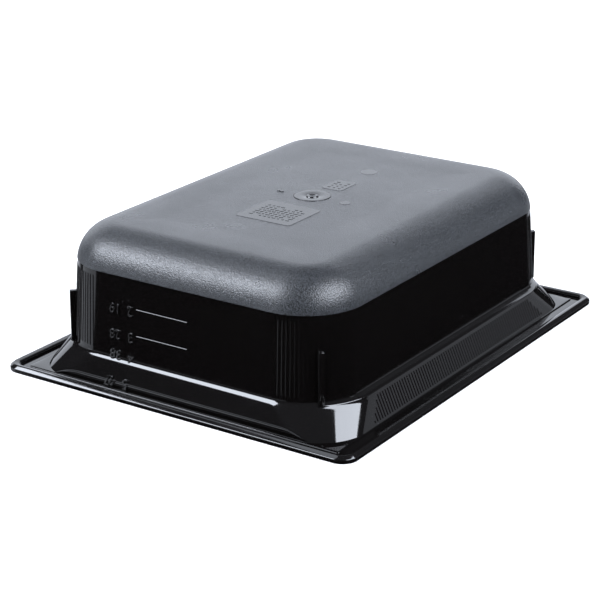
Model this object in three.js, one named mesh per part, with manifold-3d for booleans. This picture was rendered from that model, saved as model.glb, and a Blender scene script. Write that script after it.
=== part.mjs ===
// A half-size food pan, four inches deep, moulded in one piece of black polycarbonate.
// It stands upside down on its rim: +Z points out of the closed bottom of the pan, and the
// origin is the middle of the plane that the rim rests on. X runs across the pan's short
// side and Y along its long side. All sizes are in millimetres.
import * as THREE from "three";
import { mergeVertices } from "three/addons/utils/BufferGeometryUtils.js";
import Module from "manifold-3d";

// Overall sizes
const RIM_X = 263.5;
const RIM_Y = 323.9;
const HEIGHT = 98.2;
const SHELL = 2.8; // thickness of the moulded wall

// Rim: a flat flange with an upstanding lip round its edge
const RIM_CORNER = 10.5;
const FLANGE_TOP = 1.8;
const LIP_WIDTH = 6.4;
const LIP_HEIGHT = 4.6;
const LIP_CORNER = 2.5; // corner radius of the lip's inner side
const LIP_EDGE = 1.8; // height of the lip's upright outer face
const LIP_CROWN = 2.8; // from the outer edge to the top of the lip
const LIP_SHOULDER = 3.7; // the lip slopes down to this height on its inner side
const EDGE_BREAK = 0.7; // small rounding where the rim rests

// Seat: the raised, sharp-cornered step at the foot of the flare
const SEAT_FROM_SIDE = 13.35; // rim edge to seat on the long sides
const SEAT_FROM_END = 10.35; // rim edge to seat on the short sides
const SEAT_CORNER = 1.2;
const SEAT_TOP = 2.6;
const SEAT_STRIP = 0.5; // level strip between the seat's edge and the flare's foot
const END_STRIP = 0.4; // the same strip in front of the upright end faces

// Flare: the sloping band between the seat and the ledge. On the short sides its foot would
// reach past the seat, so an upright face cuts it off there.
const FLARE_FOOT_CORNER = 33;
const FLARE_TOP_CORNER = 44.5;
const FLARE_RUN_SIDE = 7.25; // how far the long sides lean in
const FLARE_RUN_END = 7.25; // how far the short sides lean in
const FLARE_CUT = 2.3; // how much of the flare's foot the end faces cut off
const FLARE_ROWS = 8;

// Ledge: the shelf inside the pan that a second pan stands on
const LEDGE_Z = 21.3;
const LEDGE_FALL = 1.5;
const LEDGE_SIDE = 5.4;
const LEDGE_END = 2;
const LEDGE_BREAK = 0.85; // how far in the ledge's outer edge is broken
const LEDGE_EDGE = 1.2; // height of that broken edge

// Walls
const DRAFT = THREE.MathUtils.degToRad(2.4);
const WALL_CORNER_LOW = 37.6;
const WALL_CORNER_HIGH = 39;

// Base: textured, with a large rounding that starts at a small step in the wall
const BASE_ROUND = 27;
const BASE_BAND = 23.2; // depth of the textured zone
const BASE_STEP = 0.4; // how far the textured zone stands proud
const BASE_STEP_HEIGHT = 0.3;
const STAND_WIDTH = 8; // level ring that the pan stands on in use
const DISH_SLOPE = 6; // width of the fall from that ring to the hollowed middle
const DISH_DEPTH = 0.4;

// Stacking fins, one on each upright corner
const FIN_THICKNESS = 3.6;
const FIN_REACH = 4.2;
const FIN_TOP = 53.6;

// Fine ribs
const RIB_PITCH = 2.8;
const RIB_WIDTH = 1.2;
const RIB_HEIGHT = 0.35;
const RIB_SINK = 1; // how far a rib is rooted in the wall
const CORNER_RIBS = 20;
const CORNER_RIB_FOOT = 3.2; // clear wall above the ledge
const CORNER_RIB_HEAD = 3.7; // clear wall below the textured zone
const FLARE_RIB_MARGIN = 0.14; // clear share of the flare's height at its top and foot
const FLARE_RIB_END = 61; // from the end of the rim to the first rib

// Marks on the graduated end wall and on the base
const GRADE_X = -16;
const GRADE_LENGTH = 39;
const GRADE_WIDTH = 0.8;
const GRADE_HEIGHT = 0.3;
const GRADE_LEVELS = [37.8, 55.2];
const GATE_RADIUS = 12.2;
const GATE_RISE = 0.25;
const LABELS = [
  { x: 2, y: -42.4, width: 42, length: 37.6 },
  { x: 2.4, y: 28.6, width: 16, length: 21 },
];
const LABEL_CORNER = 2.5;
const LABEL_RISE = 0.15;

// Fineness of the mesh
const CORNER_STEPS = 10;
const ROUND_STEPS = 6;

const wasm = await Module();
wasm.setup();

const black = new THREE.MeshStandardMaterial({
  color: "#1d1d1f",
  roughness: 0.3,
  metalness: 0,
});

// Outlines: each is a rounded rectangle at one height. Reach is the Y past which it is cut off.
const outline = (halfX, halfY, corner, z, reach = halfY) => ({ halfX, halfY, corner, z, reach });

const rimOutline = (inset, z) =>
  outline(
    RIM_X / 2 - inset,
    RIM_Y / 2 - inset,
    Math.max(RIM_CORNER - inset, LIP_CORNER),
    z,
  );

const shrink = ({ halfX, halfY, corner, reach }, inset, z) =>
  outline(halfX - inset, halfY - inset, Math.max(corner - inset, 0.5), z, reach - inset);

const seat = outline(
  RIM_X / 2 - SEAT_FROM_SIDE,
  RIM_Y / 2 - SEAT_FROM_END,
  SEAT_CORNER,
  SEAT_TOP,
);

const endFace = seat.halfY - END_STRIP;

const flareFoot = outline(
  seat.halfX - SEAT_STRIP,
  endFace + FLARE_CUT,
  FLARE_FOOT_CORNER,
  SEAT_TOP,
  endFace,
);

const flareTop = outline(
  flareFoot.halfX - FLARE_RUN_SIDE,
  flareFoot.halfY - FLARE_RUN_END,
  FLARE_TOP_CORNER,
  LEDGE_Z - LEDGE_FALL - LEDGE_EDGE,
  endFace,
);

const ledgeEdge = shrink(flareTop, LEDGE_BREAK, LEDGE_Z - LEDGE_FALL);

const wallFoot = outline(
  flareTop.halfX - LEDGE_SIDE,
  flareTop.halfY - LEDGE_END,
  WALL_CORNER_LOW,
  LEDGE_Z,
);

const bandZ = HEIGHT - BASE_BAND;
const wallLean = (bandZ - LEDGE_Z) * Math.tan(DRAFT);
const wallTop = outline(
  wallFoot.halfX - wallLean,
  wallFoot.halfY - wallLean,
  WALL_CORNER_HIGH,
  bandZ - BASE_STEP_HEIGHT,
);

// The rounding of the base, as outlines from the step in the wall up to the flat
const roundZ = HEIGHT - BASE_ROUND;
const roundStart = Math.asin((bandZ - roundZ) / BASE_ROUND);
const fullReach = BASE_STEP + BASE_ROUND * (1 - Math.cos(roundStart));

function baseRounding(radius) {
  const rings = [];
  for (let i = 0; i <= ROUND_STEPS; i++) {
    const angle = roundStart + (Math.PI / 2 - roundStart) * (i / ROUND_STEPS);
    const inset = BASE_ROUND - fullReach - radius * Math.cos(angle);
    rings.push(shrink(wallTop, inset, roundZ + radius * Math.sin(angle)));
  }
  return rings;
}

const pointAt = ({ halfX, halfY, corner, z, reach }, quarter, angle) => {
  const signX = quarter === 0 || quarter === 3 ? 1 : -1;
  const signY = quarter < 2 ? 1 : -1;
  const x = signX * (halfX - corner) + corner * Math.cos(angle);
  const y = signY * (halfY - corner) + corner * Math.sin(angle);
  return new THREE.Vector3(x, THREE.MathUtils.clamp(y, -reach, reach), z);
};

// Evenly spaced outlines from one to another, without the two themselves
function between(first, last, count) {
  const rows = [];
  for (let i = 1; i < count; i++) {
    const mix = (key) => THREE.MathUtils.lerp(first[key], last[key], i / count);
    rows.push(outline(mix("halfX"), mix("halfY"), mix("corner"), mix("z"), mix("reach")));
  }
  return rows;
}

function ringPoints(shape) {
  const points = [];
  for (let quarter = 0; quarter < 4; quarter++) {
    for (let i = 0; i <= CORNER_STEPS; i++) {
      const angle = (Math.PI / 2) * (quarter + i / CORNER_STEPS);
      points.push(pointAt(shape, quarter, angle));
    }
  }
  return points;
}

// A closed skin through a row of outlines, with a flat face that closes each end
function closedSkin(outlines) {
  const count = 4 * (CORNER_STEPS + 1);
  const points = outlines.flatMap(ringPoints);
  points.push(new THREE.Vector3(0, 0, outlines[0].z));
  points.push(new THREE.Vector3(0, 0, outlines.at(-1).z));
  const first = points.length - 2;
  const last = points.length - 1;
  const index = [];
  for (let k = 0; k < count; k++) {
    const next = (k + 1) % count;
    index.push(first, k, next);
    for (let row = 0; row + 1 < outlines.length; row++) {
      const a = row * count + k;
      const b = row * count + next;
      index.push(a, a + count, b);
      index.push(b, a + count, b + count);
    }
    const end = (outlines.length - 1) * count;
    index.push(last, end + next, end + k);
  }
  const geometry = new THREE.BufferGeometry().setFromPoints(points);
  geometry.setIndex(index);
  return geometry;
}

// The flat of the base, as outlines from the hollowed middle out to the ring that it stands on
function baseFlat(drop) {
  const [flat] = baseRounding(BASE_ROUND).reverse();
  return [
    shrink(flat, STAND_WIDTH + DISH_SLOPE, HEIGHT - DISH_DEPTH - drop),
    shrink(flat, STAND_WIDTH, HEIGHT - drop),
  ];
}

// The pan's shell, from the middle of the base down the outside, round the rim and up the inside
function shellGeometry() {
  const outside = [
    ...baseFlat(0),
    ...baseRounding(BASE_ROUND).reverse(),
    wallTop,
    wallFoot,
    ledgeEdge,
    flareTop,
    ...between(flareTop, flareFoot, FLARE_ROWS),
    flareFoot,
    seat,
    outline(seat.halfX, seat.halfY, SEAT_CORNER, FLANGE_TOP),
  ];
  const rim = [
    rimOutline(LIP_WIDTH, FLANGE_TOP),
    rimOutline(LIP_WIDTH - EDGE_BREAK / 2, LIP_SHOULDER - EDGE_BREAK),
    rimOutline(LIP_WIDTH - 2 * EDGE_BREAK, LIP_SHOULDER),
    rimOutline(LIP_CROWN, LIP_HEIGHT),
    rimOutline(LIP_CROWN / 3, (LIP_HEIGHT + LIP_EDGE) / 2 + EDGE_BREAK / 2),
    rimOutline(0, LIP_EDGE),
    rimOutline(0, EDGE_BREAK),
    rimOutline(EDGE_BREAK, 0),
  ];
  const innerFlareFoot = shrink(flareFoot, SHELL, EDGE_BREAK);
  const innerFlareTop = shrink(flareTop, SHELL, flareTop.z - SHELL / 2);
  const inside = [
    shrink(flareFoot, SHELL - EDGE_BREAK, 0),
    innerFlareFoot,
    ...between(innerFlareFoot, innerFlareTop, FLARE_ROWS),
    innerFlareTop,
    shrink(ledgeEdge, SHELL, ledgeEdge.z - SHELL),
    shrink(wallFoot, SHELL, LEDGE_Z - SHELL),
    shrink(wallTop, SHELL, bandZ - BASE_STEP_HEIGHT),
    ...baseRounding(BASE_ROUND - SHELL),
    ...baseFlat(SHELL).reverse(),
  ];
  return closedSkin([...outside, ...rim, ...inside]);
}

// A straight bar along a surface: its top stands proud of it and its root is sunk in it
function barGeometry(from, to, outward, width, height, sink) {
  const along = to.clone().sub(from);
  const length = along.length();
  along.normalize();
  const across = new THREE.Vector3().crossVectors(outward, along).normalize();
  const up = new THREE.Vector3().crossVectors(along, across);
  const middle = from.clone().add(to).multiplyScalar(0.5);
  middle.addScaledVector(up, (height - sink) / 2);
  const place = new THREE.Matrix4().makeBasis(across, up, along);
  place.setPosition(middle);
  return new THREE.BoxGeometry(width, height + sink, length).applyMatrix4(place);
}

// The point of the wall at a height, on the line that joins its low and high outlines
function wallPoint(quarter, angle, z) {
  const low = pointAt(wallFoot, quarter, angle);
  const high = pointAt(wallTop, quarter, angle);
  return low.lerp(high, (z - wallFoot.z) / (wallTop.z - wallFoot.z));
}

function cornerRibs() {
  const ribs = [];
  const step = RIB_PITCH / WALL_CORNER_LOW;
  for (let quarter = 0; quarter < 4; quarter++) {
    for (let i = 0; i < CORNER_RIBS; i++) {
      const turn = Math.PI / 4 + (i - (CORNER_RIBS - 1) / 2) * step;
      const angle = (Math.PI / 2) * quarter + turn;
      const outward = new THREE.Vector3(Math.cos(angle), Math.sin(angle), 0);
      const low = wallPoint(quarter, angle, LEDGE_Z + CORNER_RIB_FOOT);
      const high = wallPoint(quarter, angle, bandZ - CORNER_RIB_HEAD);
      ribs.push(barGeometry(low, high, outward, RIB_WIDTH, RIB_HEIGHT, RIB_SINK));
    }
  }
  return ribs;
}

function flareRibs() {
  const ribs = [];
  const reach = RIM_Y - 2 * FLARE_RIB_END;
  const spaces = Math.floor(reach / RIB_PITCH);
  for (const side of [1, -1]) {
    const foot = new THREE.Vector3(side * flareFoot.halfX, 0, flareFoot.z);
    const top = new THREE.Vector3(side * flareTop.halfX, 0, flareTop.z);
    const low = foot.clone().lerp(top, FLARE_RIB_MARGIN);
    const high = foot.clone().lerp(top, 1 - FLARE_RIB_MARGIN);
    const outward = new THREE.Vector3(side, 0, 0);
    for (let i = 0; i <= spaces; i++) {
      const shift = new THREE.Vector3(0, (i - spaces / 2) * RIB_PITCH, 0);
      const from = low.clone().add(shift);
      const to = high.clone().add(shift);
      ribs.push(barGeometry(from, to, outward, RIB_WIDTH, RIB_HEIGHT, RIB_SINK));
    }
  }
  return ribs;
}

// A fin stands on the ledge and leans with the wall behind it
function fins() {
  const list = [];
  for (let quarter = 0; quarter < 4; quarter++) {
    const angle = (Math.PI / 2) * quarter + Math.PI / 4;
    const outward = new THREE.Vector3(Math.cos(angle), Math.sin(angle), 0);
    const low = wallPoint(quarter, angle, LEDGE_Z - SHELL / 2);
    const high = wallPoint(quarter, angle, FIN_TOP);
    list.push(barGeometry(low, high, outward, FIN_THICKNESS, FIN_REACH, SHELL / 2));
  }
  return list;
}

// Raised lines on the end wall that faces -Y
function gradeLines() {
  const outward = new THREE.Vector3(0, -1, 0);
  return GRADE_LEVELS.map((z) => {
    const share = (z - wallFoot.z) / (wallTop.z - wallFoot.z);
    const y = -THREE.MathUtils.lerp(wallFoot.halfY, wallTop.halfY, share);
    const from = new THREE.Vector3(GRADE_X - GRADE_LENGTH / 2, y, z);
    const to = new THREE.Vector3(GRADE_X + GRADE_LENGTH / 2, y, z);
    return barGeometry(from, to, outward, GRADE_WIDTH, GRADE_HEIGHT, RIB_SINK);
  });
}

function labelGeometry({ x, y, width, length }) {
  const halfW = width / 2;
  const halfL = length / 2;
  const shape = new THREE.Shape();
  shape.moveTo(-halfW + LABEL_CORNER, -halfL);
  shape.lineTo(halfW - LABEL_CORNER, -halfL);
  shape.absarc(halfW - LABEL_CORNER, -halfL + LABEL_CORNER, LABEL_CORNER, -Math.PI / 2, 0);
  shape.absarc(halfW - LABEL_CORNER, halfL - LABEL_CORNER, LABEL_CORNER, 0, Math.PI / 2);
  shape.absarc(-halfW + LABEL_CORNER, halfL - LABEL_CORNER, LABEL_CORNER, Math.PI / 2, Math.PI);
  shape.absarc(-halfW + LABEL_CORNER, -halfL + LABEL_CORNER, LABEL_CORNER, Math.PI, 1.5 * Math.PI);
  const root = HEIGHT - DISH_DEPTH - SHELL / 2;
  const depth = SHELL / 2 + LABEL_RISE;
  const settings = { depth, bevelEnabled: false, curveSegments: 3 };
  const geometry = new THREE.ExtrudeGeometry(shape, settings);
  return geometry.translate(x, y, root);
}

function gateGeometry() {
  const root = HEIGHT - DISH_DEPTH - SHELL / 2;
  const depth = SHELL / 2 + GATE_RISE;
  const geometry = new THREE.CylinderGeometry(GATE_RADIUS, GATE_RADIUS, depth, 32);
  geometry.rotateX(Math.PI / 2);
  return geometry.translate(0, 0, root + depth / 2);
}

// three.js geometry to solid and back
function toSolid(geometry) {
  const bare = geometry.clone();
  bare.deleteAttribute("normal");
  bare.deleteAttribute("uv");
  const merged = mergeVertices(bare, 1e-4);
  const vertProperties = new Float32Array(merged.attributes.position.array);
  const triVerts = new Uint32Array(merged.index.array);
  return new wasm.Manifold(new wasm.Mesh({ numProp: 3, vertProperties, triVerts }));
}

function toGeometry(solid) {
  const mesh = solid.getMesh();
  const geometry = new THREE.BufferGeometry();
  const positions = new THREE.BufferAttribute(mesh.vertProperties, mesh.numProp);
  geometry.setAttribute("position", positions);
  geometry.setIndex(new THREE.BufferAttribute(mesh.triVerts, 1));
  geometry.computeVertexNormals();
  return geometry;
}

const additions = [
  ...cornerRibs(),
  ...flareRibs(),
  ...fins(),
  ...gradeLines(),
  ...LABELS.map(labelGeometry),
  gateGeometry(),
];

let panSolid = toSolid(shellGeometry());
for (const piece of additions) panSolid = panSolid.add(toSolid(piece));

const foodPan = new THREE.Mesh(toGeometry(panSolid), black);
foodPan.name = "food_pan";

const model = new THREE.Group();
model.add(foodPan);

export default model;
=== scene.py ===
import math

import bmesh
import bpy
from mathutils import Matrix, Vector


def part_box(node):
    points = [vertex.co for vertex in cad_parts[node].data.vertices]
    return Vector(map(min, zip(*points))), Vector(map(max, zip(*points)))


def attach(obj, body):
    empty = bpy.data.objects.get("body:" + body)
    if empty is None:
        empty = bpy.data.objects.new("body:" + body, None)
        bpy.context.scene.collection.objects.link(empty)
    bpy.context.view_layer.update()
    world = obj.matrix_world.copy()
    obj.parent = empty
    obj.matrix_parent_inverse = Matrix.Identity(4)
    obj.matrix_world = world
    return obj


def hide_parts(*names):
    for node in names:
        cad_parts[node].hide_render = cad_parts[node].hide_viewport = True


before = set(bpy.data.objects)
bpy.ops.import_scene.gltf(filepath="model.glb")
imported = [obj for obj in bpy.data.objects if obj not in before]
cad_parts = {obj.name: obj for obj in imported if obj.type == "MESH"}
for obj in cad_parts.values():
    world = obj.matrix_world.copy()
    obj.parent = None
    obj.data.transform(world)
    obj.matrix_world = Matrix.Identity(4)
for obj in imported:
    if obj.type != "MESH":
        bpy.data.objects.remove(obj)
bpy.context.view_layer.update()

# A half-size food pan, moulded in one shot from black polycarbonate, upside down on its rim.
# The walls, ledge and rim come off polished steel and shine like a mirror. The bottom of the
# pan comes off a spark-eroded face, so it is grained and looks grey where light skims it.
# Sizes are in metres, in the frame of the CAD model: +Z is out of the pan's closed bottom,
# and the graduated end wall faces -Y.

MM = 0.001

pan_low, pan_high = (Vector(corner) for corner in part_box("food_pan"))

# Sizes of the pan, the same as in its CAD model but for the width of the fall to the
# hollowed bottom
RIM_X, RIM_Y, HEIGHT = pan_high - pan_low
SHELL = 2.8 * MM
RIM_CORNER = 10.5 * MM
FLANGE_TOP = 1.8 * MM
LIP_WIDTH = 6.4 * MM
LIP_HEIGHT = 4.6 * MM
LIP_CORNER = 2.5 * MM
LIP_SHOULDER = 3.7 * MM
EDGE_BREAK = 0.7 * MM
SEAT_FROM_SIDE = 13.35 * MM
SEAT_FROM_END = 10.35 * MM
SEAT_CORNER = 1.2 * MM
SEAT_TOP = 2.6 * MM
SEAT_STRIP = 0.5 * MM
END_STRIP = 0.4 * MM
FLARE_FOOT_CORNER = 33 * MM
FLARE_TOP_CORNER = 44.5 * MM
FLARE_RUN_SIDE = 7.25 * MM
FLARE_RUN_END = 7.25 * MM
FLARE_CUT = 2.3 * MM
LEDGE_Z = 21.3 * MM
LEDGE_FALL = 1.5 * MM
LEDGE_SIDE = 5.4 * MM
LEDGE_END = 2 * MM
LEDGE_BREAK = 0.85 * MM
LEDGE_EDGE = 1.2 * MM
DRAFT = math.radians(2.4)
WALL_CORNER_LOW = 37.6 * MM
WALL_CORNER_HIGH = 39 * MM
BASE_ROUND = 27 * MM
BASE_BAND = 23.2 * MM
BASE_STEP = 0.4 * MM
BASE_STEP_HEIGHT = 0.3 * MM
STAND_WIDTH = 8 * MM
DISH_SLOPE = 20 * MM  # wider than in the CAD model, so that the fall is soft
DISH_DEPTH = 0.4 * MM
GATE_RADIUS = 12.2 * MM
GATE_POCKET = 1.2 * MM
FLOOR_Z = HEIGHT - DISH_DEPTH  # the hollowed middle of the bottom


# ---------------------------------------------------------------- tools

def linear(colour):
    """An sRGB hex colour such as '#1a1b1c' as linear red, green, blue and alpha."""
    parts = [int(colour[i:i + 2], 16) / 255 for i in (1, 3, 5)]
    turned = [p / 12.92 if p <= 0.04045 else ((p + 0.055) / 1.055) ** 2.4 for p in parts]
    return (*turned, 1.0)


def node(tree, kind, inputs=None, **settings):
    """Adds a node. An input that is a socket is linked, and any other value is set."""
    made = tree.nodes.new(kind)
    for name, value in settings.items():
        setattr(made, name, value)
    for key, value in (inputs or {}).items():
        if isinstance(value, bpy.types.NodeSocket):
            tree.links.new(value, made.inputs[key])
        else:
            made.inputs[key].default_value = value
    return made


def node_tree(name, inputs):
    """A geometry tree with named inputs: {name: socket type}. Returns it and its input node."""
    tree = bpy.data.node_groups.new(name, "GeometryNodeTree")
    for label, kind in inputs.items():
        tree.interface.new_socket(label, in_out="INPUT", socket_type=kind)
    tree.interface.new_socket("Geometry", in_out="OUTPUT", socket_type="NodeSocketGeometry")
    return tree, node(tree, "NodeGroupInput")


def grow(name, tree, values):
    """Runs a geometry tree with these input values and keeps what it makes as a plain mesh."""
    maker = bpy.data.objects.new(name, bpy.data.meshes.new(name))
    bpy.context.scene.collection.objects.link(maker)
    modifier = maker.modifiers.new(name, "NODES")
    modifier.node_group = tree
    for socket in tree.interface.items_tree:
        if socket.in_out == "INPUT" and socket.name in values:
            modifier[socket.identifier] = values[socket.name]
    depsgraph = bpy.context.evaluated_depsgraph_get()
    mesh = bpy.data.meshes.new_from_object(maker.evaluated_get(depsgraph), depsgraph=depsgraph)
    mesh.name = name
    if mesh.materials[0] is None:  # the slot of the empty mesh that the tree started from
        mesh.materials.pop(index=0)
    maker.modifiers.remove(modifier)
    maker.data = mesh
    return maker


def part_of_pan(piece, crease=35):
    """Gives a finished piece its creases and says what it is to the frame."""
    piece.data.set_sharp_from_angle(angle=math.radians(crease))
    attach(piece, "root")
    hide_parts("food_pan")
    return piece


def mesh_object(name, vertices, edges=(), faces=()):
    """An object in the scene with a mesh of these points, edges and faces."""
    mesh = bpy.data.meshes.new(name)
    mesh.from_pydata(vertices, edges, faces)
    made = bpy.data.objects.new(name, mesh)
    bpy.context.scene.collection.objects.link(made)
    return made


def keep_bmesh(name, bm, material):
    """Turns a bmesh into an object with one material, smooth and facing outwards."""
    bmesh.ops.remove_doubles(bm, verts=bm.verts, dist=1e-7)
    bmesh.ops.recalc_face_normals(bm, faces=bm.faces)
    made = mesh_object(name, [])
    bm.to_mesh(made.data)
    bm.free()
    made.data.materials.append(material)
    made.data.shade_smooth()
    return made


def discard(*helpers):
    """Removes objects that only helped to make a piece."""
    for helper in helpers:
        bpy.data.objects.remove(helper, do_unlink=True)


# ---------------------------------------------------------------- materials

def new_material(name, **shader_values):
    """A material with one Principled shader. Returns its tree, its shader and itself."""
    material = bpy.data.materials.new(name)
    material.use_nodes = True
    tree = material.node_tree
    shader = tree.nodes["Principled BSDF"]
    for key, value in shader_values.items():
        shader.inputs[key.replace("_", " ")].default_value = value
    shader.inputs["IOR"].default_value = 1.585  # polycarbonate
    return tree, shader, material


def polished_polycarbonate():
    """Polycarbonate moulded against polished steel: deep black with a mirror gloss. Slow sink
    waves bend its reflections, a thin haze of handling dulls them in patches, and a little
    dust lies on it."""
    tree, shader, material = new_material("Polished moulded polycarbonate")
    place = node(tree, "ShaderNodeTexCoord").outputs["Object"]
    # handling haze, in patches about 30 mm across
    haze = node(tree, "ShaderNodeTexNoise", {
        "Vector": place, "Scale": 33.0, "Detail": 4.0, "Roughness": 0.6})
    dull = node(tree, "ShaderNodeMapRange", {
        "Value": haze.outputs["Fac"], "From Min": 0.35, "From Max": 0.75,
        "To Min": 0.045, "To Max": 0.13})
    tree.links.new(dull.outputs["Result"], shader.inputs["Roughness"])
    # dust: a soft speck in each 5 mm cell, drawn 0.3 to 0.6 mm across so that it shows
    cell = node(tree, "ShaderNodeTexVoronoi", {"Vector": place, "Scale": 200.0})
    speck = node(tree, "ShaderNodeMapRange", {
        "Value": cell.outputs["Distance"], "From Min": 0.03, "From Max": 0.06,
        "To Min": 0.55, "To Max": 0.0})
    some = node(tree, "ShaderNodeMapRange", {
        "Value": haze.outputs["Fac"], "From Min": 0.55, "From Max": 0.7})
    dusty = node(tree, "ShaderNodeMath", {
        0: speck.outputs["Result"], 1: some.outputs["Result"]}, operation="MULTIPLY")
    colour = node(tree, "ShaderNodeMix", {
        "Factor": dusty.outputs["Value"], 6: linear("#060505"), 7: linear("#7f8285")},
        data_type="RGBA")
    tree.links.new(colour.outputs[2], shader.inputs["Base Color"])
    # sink waves 60 mm long and a few hundredths of a millimetre deep
    wave = node(tree, "ShaderNodeTexNoise", {
        "Vector": place, "Scale": 16.0, "Detail": 1.0, "Roughness": 0.4})
    sink = node(tree, "ShaderNodeBump", {
        "Height": wave.outputs["Fac"], "Strength": 1.0, "Distance": 0.12 * MM})
    tree.links.new(sink.outputs["Normal"], shader.inputs["Normal"])
    return material


def grained_polycarbonate():
    """Polycarbonate moulded against a spark-eroded steel face: a fine even grain of small pits,
    satin and grey where light skims it, with painted glints: single grains lighter in the base
    colour."""
    tree, shader, material = new_material("Spark-grained moulded polycarbonate")
    place = node(tree, "ShaderNodeTexCoord").outputs["Object"]
    # the grit is about 0.35 mm; it is drawn at about 0.7 mm so that it shows
    grit = node(tree, "ShaderNodeTexNoise", {
        "Vector": place, "Scale": 1500.0, "Detail": 1.0, "Roughness": 0.6})
    pits = node(tree, "ShaderNodeTexVoronoi", {"Vector": place, "Scale": 1300.0})
    both = node(tree, "ShaderNodeMath", {
        0: grit.outputs["Fac"], 1: pits.outputs["Distance"]}, operation="ADD")
    grain = node(tree, "ShaderNodeBump", {
        "Height": both.outputs["Value"], "Strength": 1.0, "Distance": 0.12 * MM})
    tree.links.new(grain.outputs["Normal"], shader.inputs["Normal"])
    # wear from stacking polishes the grain a little, in patches about 40 mm across
    wear = node(tree, "ShaderNodeTexNoise", {
        "Vector": place, "Scale": 25.0, "Detail": 3.0, "Roughness": 0.55})
    satin = node(tree, "ShaderNodeMapRange", {
        "Value": wear.outputs["Fac"], "From Min": 0.3, "From Max": 0.7,
        "To Min": 0.27, "To Max": 0.33})
    tree.links.new(satin.outputs["Result"], shader.inputs["Roughness"])
    # painted glints: the grit lightens the base colour of single grains, in place of the light
    # that real grains catch
    spark = node(tree, "ShaderNodeMapRange", {
        "Value": grit.outputs["Fac"], "From Min": 0.35, "From Max": 0.7})
    tone = node(tree, "ShaderNodeMix", {
        "Factor": spark.outputs["Result"], 6: linear("#050607"), 7: linear("#3c3f44")},
        data_type="RGBA")
    tree.links.new(tone.outputs[2], shader.inputs["Base Color"])
    return material


def polished_inset():
    """The mould's small polished insets in the grained bottom: flat and glossy, with the fine
    turning marks of the insert left on it."""
    tree, shader, material = new_material("Polished inset polycarbonate")
    place = node(tree, "ShaderNodeTexCoord").outputs["Object"]
    haze = node(tree, "ShaderNodeTexNoise", {
        "Vector": place, "Scale": 90.0, "Detail": 5.0, "Roughness": 0.6})
    dull = node(tree, "ShaderNodeMapRange", {
        "Value": haze.outputs["Fac"], "From Min": 0.3, "From Max": 0.7,
        "To Min": 0.12, "To Max": 0.22})
    tree.links.new(dull.outputs["Result"], shader.inputs["Roughness"])
    # tool marks, drawn 1 mm apart so that they show
    marks = node(tree, "ShaderNodeTexNoise", {"Vector": place, "Scale": 1000.0, "Detail": 1.0})
    fine = node(tree, "ShaderNodeBump", {
        "Height": marks.outputs["Fac"], "Strength": 0.35, "Distance": 0.03 * MM})
    tree.links.new(fine.outputs["Normal"], shader.inputs["Normal"])
    tone = node(tree, "ShaderNodeMix", {
        "Factor": haze.outputs["Fac"], 6: linear("#101113"), 7: linear("#1b1c1f")},
        data_type="RGBA")
    tree.links.new(tone.outputs[2], shader.inputs["Base Color"])
    return material


polished = polished_polycarbonate()
grained = grained_polycarbonate()
inset = polished_inset()


# ---------------------------------------------------------------- the shell's outlines

def outline(half_x, half_y, corner, z, grain=0.0, reach=None):
    """One rounded rectangle round the pan, whether the surface is grained there, and the Y
    past which the outline is cut off."""
    return (half_x, half_y, corner, z, grain, half_y if reach is None else reach)


def circle(radius, z, grain=0.0):
    """A round outline, which is a rounded rectangle that is all corner."""
    return outline(radius, radius, radius, z, grain)


SHARPEST = 0.5 * MM  # the smallest corner that an outline drawn in may have


def shrink(shape, by, z, grain=0.0):
    """An outline drawn in on all sides, at another height."""
    half_x, half_y, corner, _, _, reach = shape
    return outline(
        half_x - by, half_y - by, max(corner - by, SHARPEST), z, grain, reach - by)


def between(first, last, count):
    """Outlines evenly spaced from first to last, without the two themselves."""
    rows = []
    for i in range(1, count):
        share = i / count
        rows.append(tuple(a + (b - a) * share for a, b in zip(first, last)))
    return rows


def rim(by, z):
    """The outline of the rim, drawn in from its outer edge."""
    return outline(RIM_X / 2 - by, RIM_Y / 2 - by, max(RIM_CORNER - by, LIP_CORNER), z)


seat = outline(RIM_X / 2 - SEAT_FROM_SIDE, RIM_Y / 2 - SEAT_FROM_END, SEAT_CORNER, SEAT_TOP)
END_FACE = seat[1] - END_STRIP  # the upright face that cuts the flare off on the short sides
flare_foot = outline(
    seat[0] - SEAT_STRIP, END_FACE + FLARE_CUT, FLARE_FOOT_CORNER, SEAT_TOP, 0.0, END_FACE)
flare_top = outline(
    flare_foot[0] - FLARE_RUN_SIDE,
    flare_foot[1] - FLARE_RUN_END,
    FLARE_TOP_CORNER,
    LEDGE_Z - LEDGE_FALL - LEDGE_EDGE,
    0.0,
    END_FACE,
)
wall_foot = outline(
    flare_top[0] - LEDGE_SIDE, flare_top[1] - LEDGE_END, WALL_CORNER_LOW, LEDGE_Z)
BAND_Z = HEIGHT - BASE_BAND
lean = (BAND_Z - LEDGE_Z) * math.tan(DRAFT)
wall_top = outline(
    wall_foot[0] - lean, wall_foot[1] - lean, WALL_CORNER_HIGH, BAND_Z - BASE_STEP_HEIGHT)

ROUND_Z = HEIGHT - BASE_ROUND
ROUND_START = math.asin((BAND_Z - ROUND_Z) / BASE_ROUND)
FULL_REACH = BASE_STEP + BASE_ROUND * (1 - math.cos(ROUND_START))


def base_rounding(radius, steps, grain):
    """The big rounding of the bottom, from the flat down to the step in the wall."""
    rows = []
    for i in range(steps + 1):
        angle = math.pi / 2 + (ROUND_START - math.pi / 2) * i / steps
        by = BASE_ROUND - FULL_REACH - radius * math.cos(angle)
        rows.append(shrink(wall_top, by, ROUND_Z + radius * math.sin(angle), grain))
    return rows


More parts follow.
